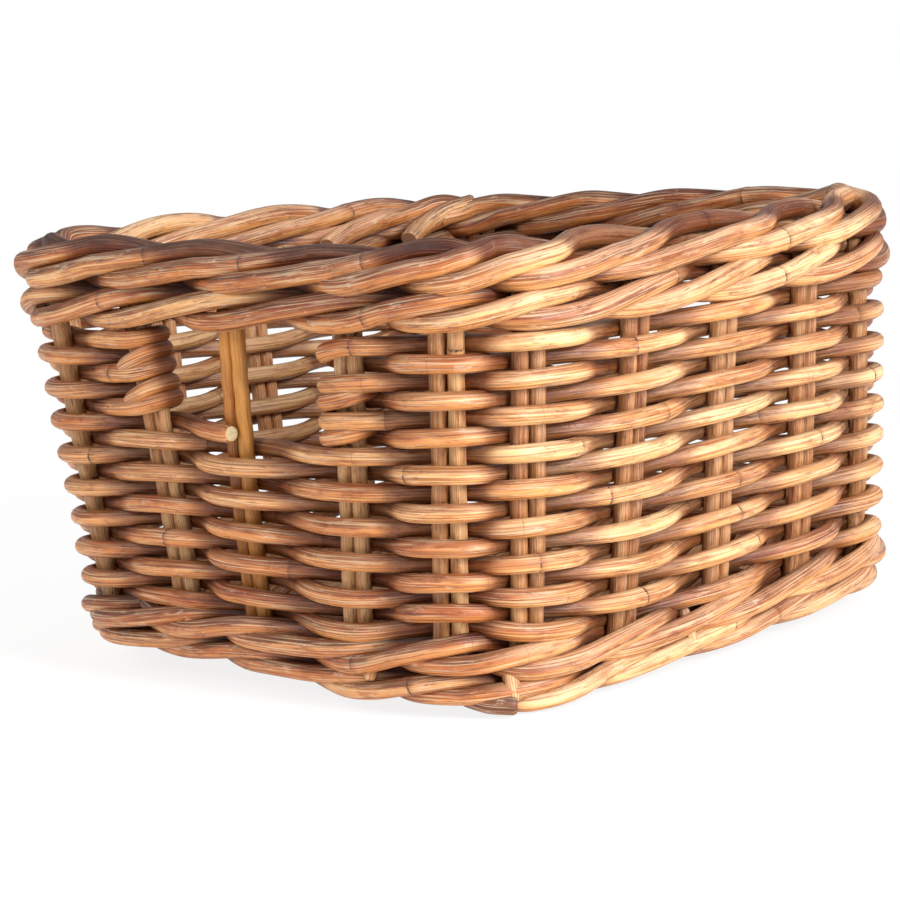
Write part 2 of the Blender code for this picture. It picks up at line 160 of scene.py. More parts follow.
# How the handmade basket departs from a regular one, at each of the 20 pairs, in mm.
# Lean: how far each pair of stakes stands along the wall from its regular place, at the foot
# and the rim, and what a bow adds halfway up.
LEAN_FOOT_MM = [-3, 4, -1.5, 5, 2, -3, -7, 1.5, 6, 2, 0, -2, 1, 3, -2, 1, 2, -3, 1, -1]
LEAN_MIDDLE_MM = [0, 6, -3.5, 0, 0, 0, 0, 0, 0, 0, 0, 0, 1, 0, 0, -1, 0, 1, 0, 0]
LEAN_RIM_MM = [-4, -10, -0.5, 10, 0, -1.5, 3, 2, 2, -3, 1, 2, -1, -3, 1, 0, -2, 3, 2, 1]
# Bulge: how much further out than regular the rim stands
BULGE_RIM_MM = [2, 0, 0, 0, 0, 0, 0, 0, -3, -12, -12, -3, 0, 0, 0, 0, 0, 0, 0, 2]
# Lift: how much higher than regular the weaving lies, with one row for each of these heights
LIFT_HEIGHTS = [0.0, 0.025, 0.0385, 0.072, 0.107, 0.175, 0.190, 0.2222]
LIFTS_MM = [
    [17, 15, 13, 7, 7, 1.5, 5, 5.5, 7.5, 10, 6, 3, 1, 0.5, 0.5, 0.5, 0.5, 2, 7, 13],
    [7.5, 8.5, 8, 2.5, 7, 1.5, -0.5, 0, 2.5, 5, 3, 1, 0, 0, 0, 0, 0, 1, 3, 5],
    [2, 5.5, 3, -1, 5, 0.5, -5, -3.5, -2, 3, 1, 0, 0, -1, 0, 1, 0, 0, 1, 2],
    [-1, 2.5, 1.5, -0.7, 0, -1, -4, -2, 0, 2, 1, 0, 0, -1, -1, 0, 0, 0, 0, -1],
    [-2, 1.5, -0.8, -0.5, 0.5, 0, -2, 0.5, 1, 1.5, 0, 0, -1, -1, -1, 0, 0, 1, 0, -1],
    [-1, 0, -1, 0, 2, 1, -0.8, 0, -0.5, 0, 0, 0, -1, -2, -2, 0, 1, 3, 3, 1],
    [1, 2.5, 3, 3, 3, 1, -0.5, 0, -0.5, 0, 0, 0, -1, -2, -2, 0, 1, 3, 4, 2],
    [5.4, 4.5, 1, -0.5, 2, 2, 1, 1, 0, 1, 1, -1, -1.5, -3, -3, -1, 1, 4, 5.4, 5.6],
]


def half_sizes(z):
    """Half the length along X and along Y of the line of the stakes, straight from foot to rim."""
    size = FLOOR_SIZE + (RIM_SIZE - FLOOR_SIZE) * (np.asarray(z)[..., None] / HEIGHT)
    return size[..., 0] / 2, size[..., 1] / 2


def round_table(values, pair):
    """Smooth value at any pair, from one value for each pair, by a cubic between four of them."""
    values = np.asarray(values, float)
    low = np.floor(pair).astype(int)
    t = pair - low
    a, b, c, d = (values[(low + k) % PAIRS] for k in (-1, 0, 1, 2))
    return b + 0.5 * t * (c - a + t * (2 * a - 5 * b + 4 * c - d + t * (3 * (b - c) + d - a)))


def lean_at(pair, z):
    """Shift along the wall: a line in z from the foot's value to the rim's, plus a parabola."""
    share = z / HEIGHT
    low, middle, high = (round_table(t, pair) for t in (LEAN_FOOT_MM, LEAN_MIDDLE_MM, LEAN_RIM_MM))
    return (low + (high - low) * share + middle * 4 * share * (1 - share)) / MM


def lift_at(pair, z):
    """Rise of the weaving at height z: straight between the heights of the table."""
    rows = np.array([round_table(row, pair) for row in LIFTS_MM])
    z = np.clip(z, LIFT_HEIGHTS[0], LIFT_HEIGHTS[-1])
    step = np.clip(np.searchsorted(LIFT_HEIGHTS, z, side="right") - 1, 0, len(LIFT_HEIGHTS) - 2)
    heights = np.array(LIFT_HEIGHTS)
    t = (z - heights[step]) / (heights[step + 1] - heights[step])
    which = np.arange(len(z))
    return (rows[step, which] * (1 - t) + rows[step + 1, which] * t) / MM


def on_wall(pair, out, z, along=0.0):
    """Points of a line in the wall, (n, 3).

    Round each wall the line of the stakes runs straight for its half length less the corner
    radius, and then turns through the corner's arc. The pair gives the place on it, `out` moves
    it square to the wall, and the lean and lift tables bend the result.
    """
    values = (np.asarray(value, float) for value in (pair, out, z, along))
    pair, out, z, along = np.broadcast_arrays(*values)
    wall = np.floor((pair + 0.5) / PAIRS_PER_WALL).astype(int)
    step = pair - wall * PAIRS_PER_WALL
    half_x, half_y = half_sizes(z)
    odd = wall % 2 == 1
    half_along, half_across = np.where(odd, half_y, half_x), np.where(odd, half_x, half_y)
    out = out + round_table(BULGE_RIM_MM, pair) / MM * np.clip(z / HEIGHT, 0, 1) ** 2
    straight = half_along - CORNER_RADIUS
    total = 2 * straight + CORNER_RADIUS * np.pi / 2
    stride = (total - CORNER_GAP) / (PAIRS_PER_WALL - 1)
    last = PAIRS_PER_WALL - 1
    inner = CORNER_GAP / 2 + np.clip(step, 0, last) * stride
    place = inner + np.minimum(step, 0) * CORNER_GAP + np.maximum(step - last, 0) * CORNER_GAP
    place = place + along + lean_at(pair, z) - total / 2
    past = np.clip(np.abs(place) - straight, 0, None) / CORNER_RADIUS
    reach = CORNER_RADIUS + out
    flat_along = np.where(past > 0, np.sign(place) * (straight + reach * np.sin(past)), place)
    flat_across = half_across - CORNER_RADIUS + reach * np.cos(past)
    facing = (wall - 1) * np.pi / 2
    x = -np.sin(facing) * flat_along + np.cos(facing) * flat_across
    y = np.cos(facing) * flat_along + np.sin(facing) * flat_across
    return np.stack([x, y, z + lift_at(pair, z)], -1)


def out_of_wall(points):
    """Distance of points out of the line of the stakes, as from a rounded rectangle's edge."""
    half = np.stack(half_sizes(points[:, 2]), -1)
    past = np.abs(points[:, :2]) - half + CORNER_RADIUS
    return np.linalg.norm(np.maximum(past, 0), axis=1) + np.minimum(past.max(1), 0) - CORNER_RADIUS


def ease(t):
    """Half a cosine wave from 0 to 1."""
    return 0.5 - 0.5 * np.cos(np.pi * np.clip(t, 0, 1))


def through(knots, pair, start=0, sharp=0.0):
    """Value at any pair of a pattern that repeats: an eased step from each knot to the next.

    `sharp` makes the steps shorter, so that the line stays longer at each knot.
    """
    knots = np.asarray(knots, float)
    low = np.floor(pair).astype(int)
    t = ease((pair - low - sharp) / (1 - 2 * sharp))
    at = (low - start) % len(knots)
    return knots[at] + (knots[(at + 1) % len(knots)] - knots[at]) * t


def wander(rng, distance, wavelength, amount):
    """Slow handmade wobble along a rod: three sine waves of chance phase and length."""
    total = np.zeros_like(distance)
    shares = (1.0, 0.55, 0.3)
    for share in shares:
        length = wavelength * share * rng.uniform(0.8, 1.25)
        total += share * np.sin(2 * np.pi * (distance / length + rng.uniform()))
    return amount * total / sum(shares)


def evenly(path, step):
    """The same line with points an even step apart, by linear interpolation over its length."""
    length = np.linalg.norm(np.diff(path, axis=0), axis=1)
    distance = np.concatenate([[0], np.cumsum(length)])
    count = max(int(distance[-1] / step), 8)
    wanted = np.linspace(0, distance[-1], count + 1)
    return np.stack([np.interp(wanted, distance, path[:, k]) for k in range(3)], -1), wanted


def soften(path, passes):
    """Rounds a line's corners: each point moves to the mean of itself and its neighbours."""
    for _ in range(passes):
        path[1:-1] = 0.25 * path[:-2] + 0.5 * path[1:-1] + 0.25 * path[2:]
    return path


def nearest_node(rng, distance):
    """How far each point of a rod is past its nearest node, in metres, by chance places."""
    length = distance[-1]
    if length > 0.1:
        nodes = np.arange(rng.uniform(0.03, NODE_SPACING), length, NODE_SPACING)
    else:
        nodes = np.array([])
    nodes = nodes + rng.uniform(-NODE_SHIFT, NODE_SHIFT, len(nodes))
    if not len(nodes):
        return np.ones_like(distance)
    past = distance[:, None] - nodes[None, :]
    return past[np.arange(len(distance)), np.abs(past).argmin(1)]


def painted_weave_shade(points):
    """Painted shade: 1 near the line of the stakes, eased to 0 away, and a share of 1 inside."""
    apart = out_of_wall(points)
    inside = ease(-apart / INSIDE_FADE) * ease((BORDER_Z - points[:, 2]) / RIM_FADE)
    weave_shade = 1 - ease((np.abs(apart) - WEAVE_SHADE_FULL) / WEAVE_SHADE_FADE)
    return np.maximum(weave_shade, INSIDE_SHADE_SHARE * inside)


def cane(
    rng, line, radius, reference=(0, 0, 1), step=RING_STEP, sides=SIDES, uneven=1.0, inner=True
):
    """One rod: rings square to the line, at the rod's radius, closed by a fan at each cut end.

    The radius wobbles, swells at the nodes by a bell curve and shrinks by another at the ends,
    and each ring is a slightly oval circle. Returns points, quads, cap triangles, a place on the
    rod's own surface in mm, and the values that the cane's material reads: the rod's tone, the
    mm past its nearest node, and painted shade, which grows with how deep a point lies in the
    weave and is left out where `inner` is false.
    """
    path, distance = evenly(line, step)
    wobble = uneven * wander(rng, distance, 0.13, THICKNESS_WOBBLE) + rng.uniform(-0.04, 0.03)
    past = nearest_node(rng, distance)
    to_end = np.minimum(distance, distance[-1] - distance)
    thickness = radius * (1 + wobble + NODE_SWELL * np.exp(-((past / NODE_REACH) ** 2)))
    thickness *= 1 - END_ROUNDING * np.exp(-((to_end / END_REACH) ** 2))
    tangent = np.gradient(path, axis=0)
    tangent /= np.linalg.norm(tangent, axis=1)[:, None]
    side = np.cross(tangent, np.asarray(reference, float))
    side /= np.linalg.norm(side, axis=1)[:, None]
    up = np.cross(side, tangent)
    angle = 2 * np.pi * np.arange(sides) / sides
    oval = 1 + OVAL * np.cos(2 * angle[None, :] + wander(rng, distance, 0.2, 2.0)[:, None])
    across, upwards = np.cos(angle)[None, :, None], np.sin(angle)[None, :, None]
    ring = across * side[:, None, :] + upwards * up[:, None, :]
    points = (path[:, None, :] + (thickness[:, None] * oval)[..., None] * ring).reshape(-1, 3)

    count = len(path)
    index = np.arange(count * sides).reshape(count, sides)
    following = np.roll(index, -1, axis=1)
    quads = np.stack([index[:-1], index[1:], following[1:], following[:-1]], -1).reshape(-1, 4)
    middle = np.full(sides, count * sides)
    first_cap = np.stack([middle, index[0], following[0]], -1)
    final_cap = np.stack([middle + 1, following[-1], index[-1]], -1)
    caps = np.concatenate([first_cap, final_cap])

    roll = angle[None, :] + wander(rng, distance, 0.5, 0.5)[:, None]
    offset = rng.uniform(0, 400, 3)
    along = np.broadcast_to(distance[:, None] * MM, roll.shape)
    place = np.stack([radius * MM * np.cos(roll), radius * MM * np.sin(roll), along], -1)
    place = place.reshape(-1, 3) + offset
    tone = np.clip(rng.uniform(0.22, 0.82) + wander(rng, distance, 0.35, 0.16), 0, 1)
    past_mm = np.clip(past * MM, -8, 8)
    # Painted shade deep in the weave and on the inside, none where `inner` is false
    weave_shade = painted_weave_shade(points) * inner
    marks = np.stack([np.repeat(tone, sides), np.repeat(past_mm, sides), weave_shade], -1)

    points = np.concatenate([points, [path[0], path[-1]]])
    place = np.concatenate([place, [offset, [offset[0], offset[1], place[-1, 2]]]])
    marks = np.concatenate([marks, marks[:1], marks[-1:]])
    return points, quads, caps, place, marks


def set_attribute(mesh, name, values):
    attribute = mesh.attributes.new(name, "FLOAT_VECTOR", "POINT")
    attribute.data.foreach_set("vector", np.asarray(values, np.float32).ravel())


def piece(name, rods, materials, replaced=()):
    """A named piece of one or more rods, put into a mesh as whole arrays.

    The first material is the rods' and the second is their cut ends'.
    """
    base = np.cumsum([0] + [len(rod[0]) for rod in rods])
    points = np.concatenate([rod[0] for rod in rods])
    quads = np.concatenate([rod[1] + shift for rod, shift in zip(rods, base)])
    caps = np.concatenate([rod[2] + shift for rod, shift in zip(rods, base)])
    corners = np.concatenate([quads.ravel(), caps.ravel()]).astype(np.int32)
    starts = np.concatenate([np.arange(len(quads)) * 4, quads.size + np.arange(len(caps)) * 3])
    is_cap = np.arange(len(starts)) >= len(quads)
    mesh = bpy.data.meshes.new(name)
    mesh.vertices.add(len(points))
    mesh.vertices.foreach_set("co", points.astype(np.float32).ravel())
    mesh.loops.add(len(corners))
    mesh.loops.foreach_set("vertex_index", corners)
    mesh.polygons.add(len(starts))
    mesh.polygons.foreach_set("loop_start", starts.astype(np.int32))
    mesh.polygons.foreach_set("use_smooth", ~is_cap)
    for material in materials:
        mesh.materials.append(material)
    mesh.polygons.foreach_set("material_index", is_cap.astype(np.int32))
    mesh.update(calc_edges=True)
    mesh.validate()
    set_attribute(mesh, "rod_place", np.concatenate([rod[3] for rod in rods]))
    set_attribute(mesh, "rod_marks", np.concatenate([rod[4] for rod in rods]))
    made = bpy.data.objects.new(name, mesh)
    bpy.context.scene.collection.objects.link(made)
    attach(made, "root")
    if replaced:
        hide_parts(*replaced)


def pairs_between(first, last, spacing=0.02):
    """Even steps of pair count from one pair to another."""
    return np.linspace(first, last, int(abs(last - first) / spacing) + 1)


def depth_at_stake(radius):
    """How far from the line of the stakes the middle of a rod passes them."""
    return STICK_RADIUS + radius - PRESSED


def row_z(row):
    return FIRST_ROW_Z + (row - 1) * ROW_PITCH


def row_line(rng, row, first, last):
    """Line of a row: outside one pair and inside the next, in eased steps, and a little uneven.

    It lies 0.6 mm higher outside than inside.
    """
    pair = pairs_between(first, last)
    side = through([1, -1], pair, start=row % 2, sharp=0.08)
    distance = pair * PAIR_SPACING
    out = side * depth_at_stake(WEAVER_RADIUS) + wander(rng, distance, 0.09, 0.0005)
    z = row_z(row) + wander(rng, distance, 0.19, 0.0006) + 0.0006 * side
    return np.stack([pair, out, z], -1)


def in_wall(line, along=0.0):
    return on_wall(line[:, 0], line[:, 1], line[:, 2], along)


def make_rows(rng, materials):
    """Rows under the hand holes: each rod goes once round and its ends meet inside."""
    for row in range(1, FULL_ROWS + 1):
        join = row * PAIRS_PER_WALL
        join += 0 if (row + join) % 2 else 1
        line = in_wall(row_line(rng, row, join + 0.01, join + PAIRS - 0.01))
        name = f"row_weaver_{row:02d}"
        piece(f"{name}_cane", [cane(rng, line, WEAVER_RADIUS)], materials, [name])


def edge_turn(pair, z_from, z_to, side, ahead, turns, tilt=0.0):
    """Line round a pair beside a hand hole, as (pair, out, z, along).

    It goes round a squarish oval that clears both twins, half a turn or one and a half, and
    climbs to the next row on the way by an eased step. `tilt` lifts its right side.
    """
    angle = np.linspace(0, np.pi * (2 * turns - 1), 16 * (2 * turns - 1) + 1)
    sine, cosine = np.sin(angle), np.cos(angle)
    depth = depth_at_stake(WEAVER_RADIUS)
    along = ahead * (TWIN_OFFSET + depth) * np.sign(sine) * np.abs(sine) ** 0.85
    out = side * depth * np.sign(cosine) * np.abs(cosine) ** 0.85
    share = ease((angle - np.pi * 0.4) / (np.pi * 2.2)) if turns > 1 else ease(angle / np.pi)
    z = z_from + (z_to - z_from) * share + tilt * ahead * sine
    return np.stack([np.full_like(angle, pair), out, z, along], -1)


def panel_line(rng, first_pair, last_pair):
    """One rod to and fro between two hand holes.

    It starts with a cut end on the outside of the pair in the middle of the hole. At the turns
    below the top it is wound once more round the edge pair, which fills the hole's edge.
    """
    depth = depth_at_stake(WEAVER_RADIUS)
    start = pairs_between(last_pair + 1.06, last_pair)
    out = through([-1, 1], start, start=last_pair) * depth
    out = np.where(start > last_pair + 0.9, depth + 0.005 * (start - last_pair - 0.9), out)
    height = np.full_like(start, row_z(FULL_ROWS + 1))
    stretch = [np.stack([start, out, height, np.zeros_like(start)], -1)]
    for row in range(FULL_ROWS + 1, ROWS + 1):
        back = (row - FULL_ROWS) % 2 == 1
        begin, end = (last_pair, first_pair) if back else (first_pair, last_pair)
        line = row_line(rng, row, begin, end)
        stretch.append(np.concatenate([line, np.zeros((len(line), 1))], 1)[2:-2])
        if row < ROWS:
            side = 1 if (row + end) % 2 == 0 else -1
            turns = 2 if row < ROWS - 1 else 1
            ahead, tilt = (-1, 0.0012) if back else (1, 0.0050)
            turn = edge_turn(end, row_z(row), row_z(row + 1), side, ahead, turns, tilt)
            stretch.append(turn)
    stretch.append(edge_turn(last_pair, row_z(ROWS), row_z(ROWS) + 0.001, 1, 1, 1, 0.002))
    joined = np.concatenate(stretch)
    joined[:, 2:3] = soften(joined[:, 2:3], 12)
    return soften(on_wall(*joined.T), 2)


def make_panels(rng, materials):
    """The walls between the hand holes: one rod to and fro on each side."""
    for side in range(2):
        first = HOLE_PAIRS[side] + 1
        line = panel_line(rng, first, first + PAIRS // 2 - 2)
        name = f"panel_weaver_{side + 1}"
        piece(f"{name}_cane", [cane(rng, line, WEAVER_RADIUS)], materials, [name])


def braid_line(rng, first, last, start, band, crossing, ahead=0.0):
    """Line of a braid's rod, from the middle of one inner pass to the middle of another.

    Its height is a sine wave over the crossing's period, so that a stroke is one long ramp, and
    above the middle a share of the sine's cube makes it pointed. Its distance from the stakes is
    mostly an eased step out and an eased step in, and for the rest such a wave.
    """
    pair = pairs_between(first, last)
    phase = pair + ahead * round_table(STROKES_AHEAD, pair) - start
    turn = 2 * np.pi * (phase - 0.5) / crossing.period
    # A wave that is 1 at the pairs outside and -1 at those inside, two and two or two and one
    wave = 1.4 * np.cos(turn) if crossing.period == 4 else 1 / 3 + 4 / 3 * np.cos(turn)
    repeated = (phase + 1) % crossing.period - 1
    outwards = ease((repeated - crossing.comes_out) / crossing.out_takes)
    inwards = ease((repeated - crossing.goes_in) / crossing.in_takes)
    distance = pair * PAIR_SPACING
    side = (1 - crossing.roundness) * (2 * outwards - 2 * inwards - 1) + crossing.roundness * wave
    out = side * (depth_at_stake(band.radius) + band.push)
    height = np.sin(turn - 2 * np.pi * band.late / crossing.period)
    out *= 1 - crossing.closed * np.clip(height, 0, 1)
    height *= np.where(height > 0, 1 - band.pointed + band.pointed * height**2, 1)
    z = band.middle + band.climb * height + wander(rng, distance, 0.17, 0.0006)
    return in_wall(np.stack([pair, out + wander(rng, distance, 0.12, 0.0005), z], -1))


def make_wale(rng, band, materials, nodes):
    """Three rods, each outside two pairs and inside one, low on the left and high on the right."""
    start = 0
    for count, name in zip((7, 7, 6), nodes):
        ends = (start - 0.99, start + 3 * count - 1.01)
        line = braid_line(rng, *ends, start, band, WALE_CROSSING)
        piece(f"{name}_cane", [cane(rng, line, band.radius)], materials, [name])
        start += 3 * count


def make_border(rng, materials):
    """Four rods round the tops of the stakes, each rising over two pairs and then inside two."""
    for start in range(4):
        ends = (start - 0.99, start + PAIRS - 1.01)
        line = braid_line(rng, *ends, start, BORDER_BAND, RIM_CROSSING, ahead=1.0)
        name = f"border_rod_{start + 1}"
        rod = cane(rng, line, BORDER_BAND.radius)
        piece(f"{name}_cane", [rod], materials, [name])


# Short ends left showing at the rim, of stakes and at the foot: name, thickness in mm, and
# points as (pair, mm up, mm out)
CUT_ENDS = [
    ("rim_end_1", 11.4, [
        (15.2, 213, -3), (15.55, 210.5, -10), (16.05, 205.5, -15), (16.38, 200.5, -23),
    ]),
    ("rim_end_2", 11.2, [
        (14.0, 215, -4), (14.5, 211.5, -10), (15.0, 205, -15), (15.4, 198, -23),
    ]),
    ("stake_end_1", 8.0, [(1.17, 44, 4), (1.17, 34, 8), (1.17, 27, 9)]),
    ("stake_end_2", 6.4, [(3.3, 34, 3), (3.28, 25, 8), (3.27, 16.5, 10)]),
    ("stake_end_3", 8.0, [(4.74, 30, 3), (4.75, 16, 8), (4.76, 8, 10)]),
    ("stake_end_4", 6.4, [(6.6, 30, 3), (6.6, 20, 8), (6.61, 13, 10)]),
]
FOOT_ENDS = [
    ("foot_end_1", 8.0, [(0.55, 37, 3), (0.75, 35, 8), (0.89, 32.5, 11.5)]),
    ("foot_end_2", 10.5, [(4.2, 11, 3), (4.5, 7.5, 8), (4.8, 6.3, 11)]),
]


def make_cut_ends(rng, ends, materials):
    """Ends of rods that stand out of the braids: each a smooth line through a few points."""
    for name, thickness, knots in ends:
        knots = np.array(knots)
        along = np.linspace(0, len(knots) - 1, 40)
        pair, z, out = (np.interp(along, np.arange(len(knots)), knots[:, k]) for k in range(3))
        line = np.stack([pair, out / MM, z / MM - lift_at(pair, z / MM)], -1)
        rod = cane(rng, soften(in_wall(line), 12), thickness / 2 / MM, step=CUT_END_RING_STEP)
        piece(f"{name}_cane", [rod], materials)


def make_stakes(rng, materials, hole_materials):
    """Each pair: two sticks side by side, pushed a little out and in by the rows they hold.

    The push is a cosine wave over two rows. The pairs that cross a hand hole are slimmer and
    peeled smooth.
    """
    for pair in range(PAIRS):
        in_hole = pair in HOLE_PAIRS
        uneven = HOLE_STICK_UNEVEN if in_hole else 1.0
        offset = STICK_OFFSET * (HOLE_STICK_OFFSET if in_hole else 1)
        radius = STICK_RADIUS * (HOLE_STICK_RADIUS if in_hole else 1)
        sticks = []
        for side in (-1, 1):
            z = np.linspace(STAKE_BOTTOM, STAKE_TOP, 90)
            above, below = (z - row_z(1)) * 200, (row_z(ROWS) - z) * 200
            in_rows = np.clip(above, 0, 1) * np.clip(below, 0, 1)
            push = -STAKE_PUSH * np.cos(np.pi * ((z - row_z(1)) / ROW_PITCH + pair + 1)) * in_rows
            out = push + uneven * wander(rng, z, 0.09, 0.0003)
            along = side * offset + uneven * wander(rng, z, 0.15, 0.0002)
            line = on_wall(np.full_like(z, pair), out, z, along)
            stick = cane(rng, line, radius, reference=(0.3, 0.7, 0), uneven=uneven, inner=False)
            sticks.append(stick)
        name = f"stake_pair_{pair + 1:02d}"
        cover = hole_materials if in_hole else materials
        piece(f"{name}_cane", sticks, cover, [name])


def base_run(rng, x, lines, over):
    """One pass across the sticks: an eased wave from over one pair to under the next.

    The further out a pass lies, the more it bows towards the wall, by one less a cube.
    """
    heights = over * BASE_RISE * (-1.0) ** np.arange(len(lines))
    y = np.linspace(lines[0], lines[-1], 90)
    step = np.clip(np.searchsorted(lines, y, side="right") - 1, 0, len(lines) - 2)
    t = ease((y - lines[step]) / (lines[step + 1] - lines[step]))
    z = heights[step] + (heights[step + 1] - heights[step]) * t
    bowed = x * (1 + BASE_BOW * (1 - np.abs(y / lines[-1]) ** 3))
    return np.stack([bowed + wander(rng, y, 0.12, 0.0005), y, LOWER_WALE_Z + z], -1)


def base_turn(edge, outward, x, step):
    """Half a turn round the outer pair of sticks, from under it to over it, and to the next run."""
    angle = np.linspace(0, np.pi, 16)[1:-1]
    y = edge + outward * (BASE_EDGE + BASE_TURN_REACH) * np.sin(angle)
    z = LOWER_WALE_Z - BASE_RISE * np.cos(angle)
    return np.stack([x + step * angle / np.pi, y, z], -1)


def make_base(rng, stick_materials, weaver_materials):
    """The base: six pairs of sticks, and one rod woven to and fro across them, row by row."""
    boxes = [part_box(f"base_stick_pair_{k + 1}") for k in range(6)]
    lines = np.array([(low.y + high.y) / 2 for low, high in boxes])
    for index, (low, high) in enumerate(boxes):
        sticks = []
        for side in (-1, 1):
            x = np.linspace(low.x, high.x, 60)
            y = lines[index] + side * BASE_STICK_OFFSET + wander(rng, x, 0.2, 0.0003)
            line = np.stack([x, y, LOWER_WALE_Z + wander(rng, x, 0.2, 0.0002)], -1)
            sticks.append(cane(rng, line, BASE_STICK_RADIUS, step=BASE_RING_STEP, inner=False))
        name = f"base_stick_pair_{index + 1}"
        piece(f"{name}_cane", sticks, stick_materials, [name])
    half_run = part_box("base_weaver")[1].x - BASE_EDGE
    step = 2 * half_run / (BASE_RUNS - 1)
    parts = []
    for run in range(BASE_RUNS):
        outward = 1 if run % 2 == 0 else -1
        x = -half_run + run * step
        parts.append(base_run(rng, x, lines, outward)[::outward])
        if run < BASE_RUNS - 1:
            parts.append(base_turn(lines[-1] if outward > 0 else lines[0], outward, x, step))
    line = soften(np.concatenate(parts), 2)
    size = dict(reference=(1, 0, 0), step=BASE_RING_STEP, sides=BASE_SIDES)
    rod = cane(rng, line, BASE_WEAVER_RADIUS, inner=False, **size)
    piece("base_weaver_cane", [rod], weaver_materials, ["base_weaver"])


def linear(code):
    """An sRGB hex value such as c98a4b as linear red, green, blue and alpha."""
    parts = [int(code[k : k + 2], 16) / 255 for k in (0, 2, 4)]
    return [c / 12.92 if c <= 0.04045 else ((c + 0.055) / 1.055) ** 2.4 for c in parts] + [1.0]


def add_node(tree, kind, inputs=(), **settings):
    """Adds a node: settings are its own fields, and inputs are (socket, value or output) pairs."""
    node = tree.nodes.new(kind)
    for field, value in settings.items():
        setattr(node, field, value)
    for socket, value in inputs:
        if isinstance(value, bpy.types.NodeSocket):
            tree.links.new(value, node.inputs[socket])
        else:
            node.inputs[socket].default_value = value
    return node


def set_stops(ramp, stops):
    """Colour stops of a ramp, from (place, hex code) pairs."""
    while len(ramp.elements) < len(stops):
        ramp.elements.new(0.5)
    for element, (place, code) in zip(ramp.elements, stops):
        element.position = place
        element.color = linear(code)


def new_material(name):
    material = bpy.data.materials.new(name)
    material.use_nodes = True
    material.node_tree.nodes.clear()
    return material, material.node_tree


# Patterns on a rod: mm across it, mm along it, detail and roughness of the noise. Real grooves
# are about 0.4 mm apart and real freckles 0.5 mm across, so both are drawn coarser to show.
CANE_PATTERNS = {
    "tone": (7.0, 60, 2, 0.5),
    "grooves": (0.95, 90, 1, 0.5),
    "threads": (0.75, 34, 1, 0.5),
    "ribs": (3.5, 0.9, 2, 0.6),
    "patches": (3.6, 17, 4, 0.65),
    "freckles": (0.9, 1.8, 3, 0.7),
    "stains": (4.0, 15, 3, 0.6),
    "skin": (3.4, 12, 4, 0.7),
    "cracks": (1.1, 16, 3, 0.6),
}
# Where each mask shows: what it reads, the value at which it starts and the one where it is full
CANE_MASKS = {
    "grooves": ("grooves", 0.52, 0.42),
    "threads": ("threads", 0.54, 0.64),
    "ribs": ("ribs", 0.56, 0.66),
    "patches": ("patches", 0.44, 0.58),
    "freckles": ("freckles", 0.55, 0.65),
    "stains": ("stains", 0.52, 0.66),
    "skin": ("skin", 0.60, 0.68),
    "cracks": ("cracks", 0.63, 0.68),
    "upper": ("upward", 0.95, 1.35),
    "lower": ("upward", 0.85, 0.35),
    "shaded": ("wall", 0.08, 0.14),
    "sunny": ("wall", 0.14, 0.08),
    "ring": ("from_ring", 0.65, 0.3),
    "band": ("past_node", 4.5, 0.5),
    "after": ("past_node", 0.5, 1.0),
}
# Layers of colour over the cane's tone: the masks each is the product of, whose strength it
# takes, how it is mixed, and its colour. The colours of the painted underside light and of the
# weathering with painted shade on the upper side are given for each material.
CANE_LAYERS = [
    # Painted light: the undersides turn gold, as if lit by the white table below
    (("lower",), "underside_light", "MIX", "underside_light"),
    # Upper side of the shaded walls: partly weathering, partly painted shade from the dim light
    # above
    (("upper", "shaded"), "weathering_and_shade", "MIX", "weathering_and_shade"),
    # Painted shade: the walls away from the key lamp turn a deeper orange, as in shadow
    (("shaded",), "shaded", "MULTIPLY", "ecb062"),
    # Painted light: the tops on the key lamp's side turn pale cream
    (("upper", "sunny"), "lit_tops", "MIX", "ecd2b8"),
    (("sunny",), "aged", "MULTIPLY", "e1d6d7"),
    (("stains",), "stains", "MULTIPLY", "b98560"),
    (("grooves",), "grooves", "MULTIPLY", "9c6a48"),
    (("threads",), "threads", "MIX", "f6dcb4"),
    (("freckles", "stains"), "freckles", "MIX", "4a2a1a"),
    (("ribs", "skin"), "ribs", "MIX", "8a5a36"),
    (("cracks",), "cracks", "MIX", "5c331d"),
    (("skin",), "skin", "MIX", "f0dcc0"),
    # Painted shade: darker where rods pass between the stakes and on the inside
    (("weave_shade",), "weave_shade", "MULTIPLY", "7c4528"),
    (("band", "after"), "band", "MULTIPLY", "9a7660"),
    (("ring", "patches"), "ring", "MIX", "452818"),
]
# What stands out of the grooved surface or lies in it, as shares of a groove's depth
CANE_RELIEF = [
    ("threads", 0.25),
    ("ribs", -0.12),
    ("freckles", -0.12),
    ("skin", 0.15),
    ("cracks", -0.35),
]
GROOVE_DEPTH = 0.0008
CANE_IOR = 1.5


def wall_place(tree):
    """Distance from the middle along Y, less 1.2 times what lies past x = 0.12.

    Above 0.08 to 0.14 it is one of the two walls that face along Y, and less so at positive X.
    Those walls stand away from the key lamp, and the shaded mask on them carries painted shade.
    """
    spot = add_node(tree, "ShaderNodeTexCoord").outputs["Object"]
    x, y, _ = add_node(tree, "ShaderNodeSeparateXYZ", [(0, spot)]).outputs
    across = add_node(tree, "ShaderNodeMath", [(0, y)], operation="ABSOLUTE").outputs[0]
    past = add_node(tree, "ShaderNodeMath", [(0, x), (1, 0.12)], operation="SUBTRACT").outputs[0]
    past = add_node(tree, "ShaderNodeMath", [(0, past), (1, 0.0)], operation="MAXIMUM").outputs[0]
    settings = [(0, past), (1, -1.2), (2, across)]
    return add_node(tree, "ShaderNodeMath", settings, operation="MULTIPLY_ADD").outputs[0]


